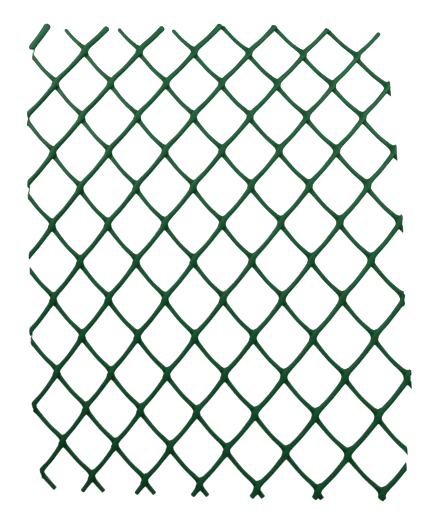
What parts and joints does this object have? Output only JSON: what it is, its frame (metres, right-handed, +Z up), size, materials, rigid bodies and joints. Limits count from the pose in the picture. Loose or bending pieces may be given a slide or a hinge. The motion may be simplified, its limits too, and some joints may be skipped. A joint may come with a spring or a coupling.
{
  "type": "diamond mesh netting panel",
  "caption": "Cut panel of stiff green extruded plastic diamond netting, two layers of strands welded where they cross, still bowed from its roll.",
  "frame": {"origin": "floor point under the middle of the panel's bounding box, with the panel standing on three of its corners", "axes": "+Z up, out of the front strands; +Y along the roll's length towards the straight cut top edge; +X across the roll to the right"},
  "size_m": [0.2018, 0.2638, 0.0519],
  "materials": {
    "front_strand": "gloss, extruded polyethylene",
    "back_strand": "gloss, extruded polyethylene",
    "weld_web": "gloss, squeezed polyethylene"
  },
  "bodies": {
    "root": {"back_strand_01": "back_strand", "back_strand_02": "back_strand", "back_strand_03": "back_strand", "back_strand_04": "back_strand", "back_strand_05": "back_strand", "back_strand_06": "back_strand", "back_strand_07": "back_strand", "back_strand_08": "back_strand", "back_strand_09": "back_strand", "back_strand_10": "back_strand", "back_strand_11": "back_strand", "back_strand_12": "back_strand", "back_strand_13": "back_strand", "front_strand_01": "front_strand", "front_strand_02": "front_strand", "front_strand_03": "front_strand", "front_strand_04": "front_strand", "front_strand_05": "front_strand", "front_strand_06": "front_strand", "front_strand_07": "front_strand", "front_strand_08": "front_strand", "front_strand_09": "front_strand", "front_strand_10": "front_strand", "front_strand_11": "front_strand", "front_strand_12": "front_strand", "front_strand_13": "front_strand", "weld_row_01": "weld_web", "weld_row_02": "weld_web", "weld_row_03": "weld_web", "weld_row_04": "weld_web", "weld_row_05": "weld_web", "weld_row_06": "weld_web", "weld_row_07": "weld_web", "weld_row_08": "weld_web", "weld_row_09": "weld_web", "weld_row_10": "weld_web", "weld_row_11": "weld_web", "weld_row_12": "weld_web", "weld_row_13": "weld_web"}
  },
  "joints": []
}
